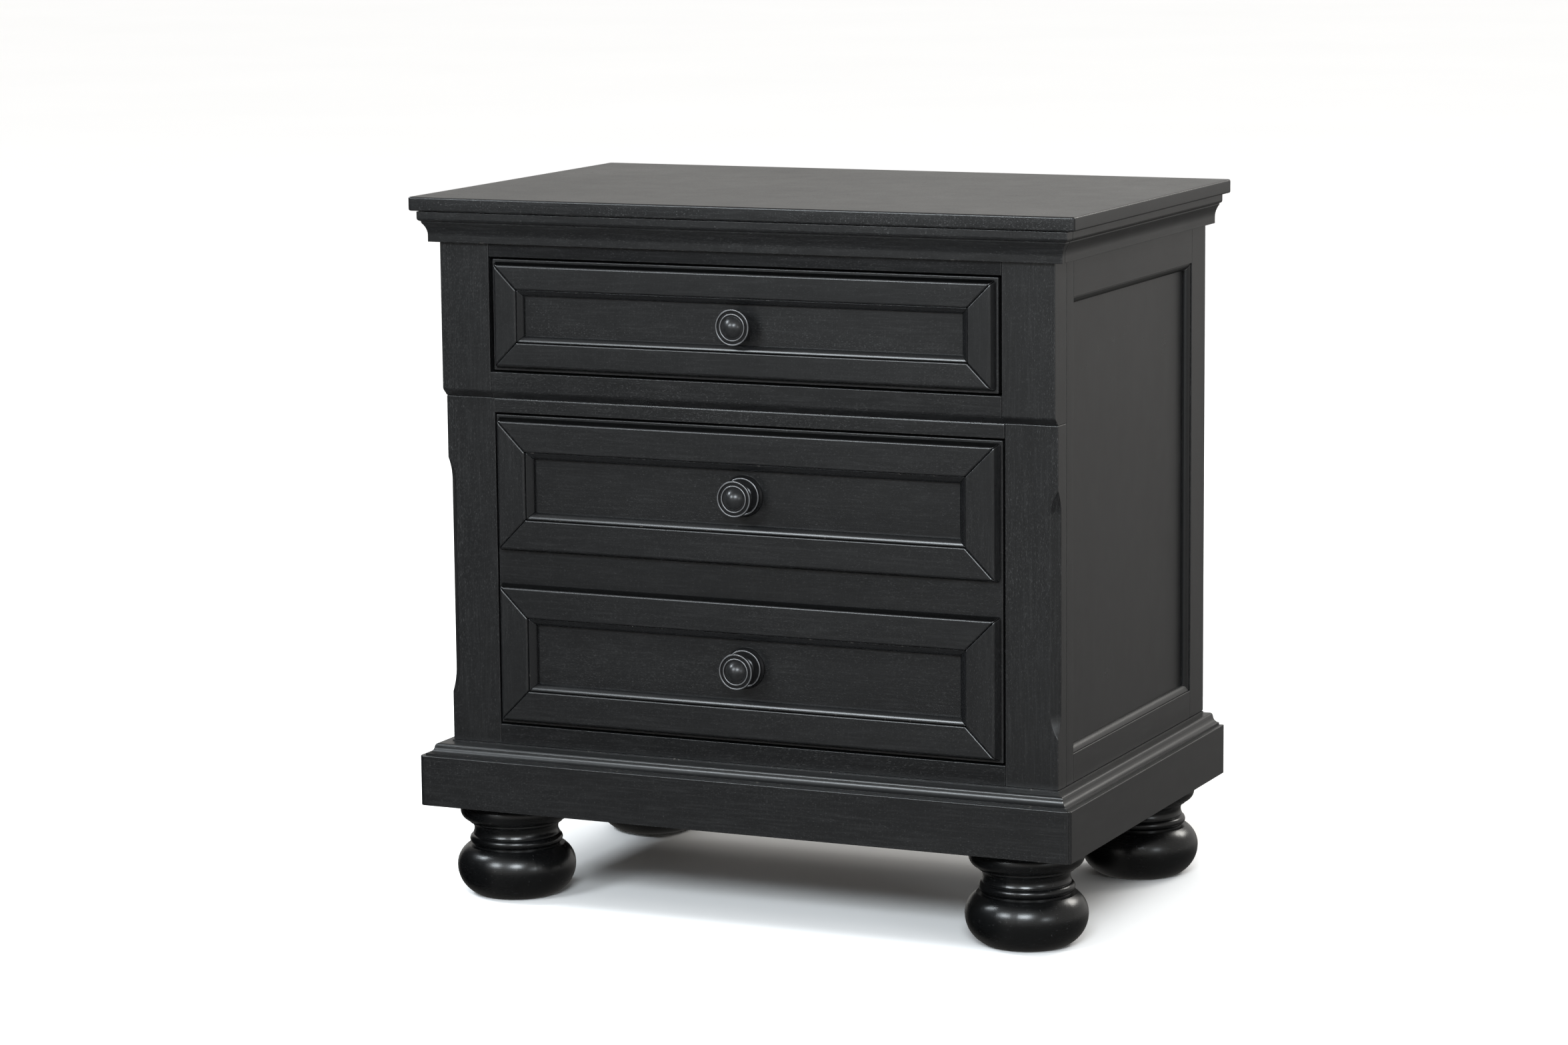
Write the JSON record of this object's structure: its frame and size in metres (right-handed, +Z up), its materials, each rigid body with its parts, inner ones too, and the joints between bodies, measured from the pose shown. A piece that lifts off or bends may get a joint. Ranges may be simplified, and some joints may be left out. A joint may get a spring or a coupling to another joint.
{
  "type": "nightstand",
  "caption": "Black painted bedside cabinet with framed drawer faces, a crown band that hides a shallow tray, side panels and turned bun feet.",
  "frame": {"origin": "centre of the footprint, on the floor", "axes": "+Z up, -Y out of the drawer fronts, +X to the right of someone facing the fronts"},
  "size_m": [0.711, 0.459, 0.719],
  "materials": {
    "black_paint": "satin black paint over open-pored wood",
    "drawer_wood": "clear-lacquered pale hardwood",
    "plywood": "plain sealed plywood",
    "felt_board": "thin dark felt on a board",
    "frame_wood": "rough sawn softwood",
    "zinc_steel": "bright zinc plate",
    "knob_metal": "dark cast metal, soft gloss"
  },
  "bodies": {
    "case": {"top_panel": "black_paint", "cornice_left": "black_paint", "cornice_right": "black_paint", "upper_stile_left": "black_paint", "upper_stile_right": "black_paint", "lower_stile_left": "black_paint", "lower_stile_right": "black_paint", "frieze_rail": "black_paint", "middle_rail": "black_paint", "bottom_rail": "black_paint", "side_frame_left": "black_paint", "side_frame_right": "black_paint", "side_panel_left": "black_paint", "side_panel_right": "black_paint", "side_bead_left": "black_paint", "side_bead_right": "black_paint", "back_panel": "plywood", "base_board": "plywood", "upper_web": "plywood", "tray_guides": "frame_wood", "plinth_front": "black_paint", "plinth_left": "black_paint", "plinth_right": "black_paint", "plinth_back": "black_paint", "cap_front": "black_paint", "cap_left": "black_paint", "cap_right": "black_paint", "corner_blocks": "frame_wood", "feet": "black_paint", "foot_bolts": "zinc_steel", "slide_cleats": "frame_wood", "case_slides": "zinc_steel"},
    "tray_drawer": {"cornice_front": "black_paint", "tray_front": "drawer_wood", "tray_side_left": "drawer_wood", "tray_side_right": "drawer_wood", "tray_back": "drawer_wood", "tray_floor": "felt_board"},
    "top_drawer": {"top_front_board": "black_paint", "top_face_frame": "black_paint", "top_bead": "black_paint", "top_side_left": "drawer_wood", "top_side_right": "drawer_wood", "top_back": "drawer_wood", "top_floor": "plywood", "top_knob": "knob_metal", "top_slides": "zinc_steel"},
    "deep_drawer": {"low_front_board": "black_paint", "low_upper_frame": "black_paint", "low_lower_frame": "black_paint", "low_beads": "black_paint", "low_side_left": "drawer_wood", "low_side_right": "drawer_wood", "low_back": "drawer_wood", "low_floor": "plywood", "low_knobs": "knob_metal", "low_rosettes": "knob_metal", "low_slides": "zinc_steel"},
    "top_slide_mid": {"top_slide_mids": "zinc_steel"},
    "deep_slide_mid": {"low_slide_mids": "zinc_steel"}
  },
  "joints": [
    {"name": "tray_drawer_slide", "type": "slide", "parent": "case", "child": "tray_drawer", "axis": [0, -1, 0], "range_m": [0, 0.24]},
    {"name": "top_drawer_slide", "type": "slide", "parent": "case", "child": "top_drawer", "axis": [0, -1, 0], "range_m": [0, 0.33]},
    {"name": "deep_drawer_slide", "type": "slide", "parent": "case", "child": "deep_drawer", "axis": [0, -1, 0], "range_m": [0, 0.33]},
    {"name": "top_slide_mid_slide", "type": "slide", "parent": "case", "child": "top_slide_mid", "axis": [0, -1, 0], "range_m": [0, 0.166]},
    {"name": "deep_slide_mid_slide", "type": "slide", "parent": "case", "child": "deep_slide_mid", "axis": [0, -1, 0], "range_m": [0, 0.166]}
  ],
  "couplings": [
    {"joint": "top_slide_mid_slide", "follows": "top_drawer_slide", "ratio": 0.5},
    {"joint": "deep_slide_mid_slide", "follows": "deep_drawer_slide", "ratio": 0.5}
  ]
}
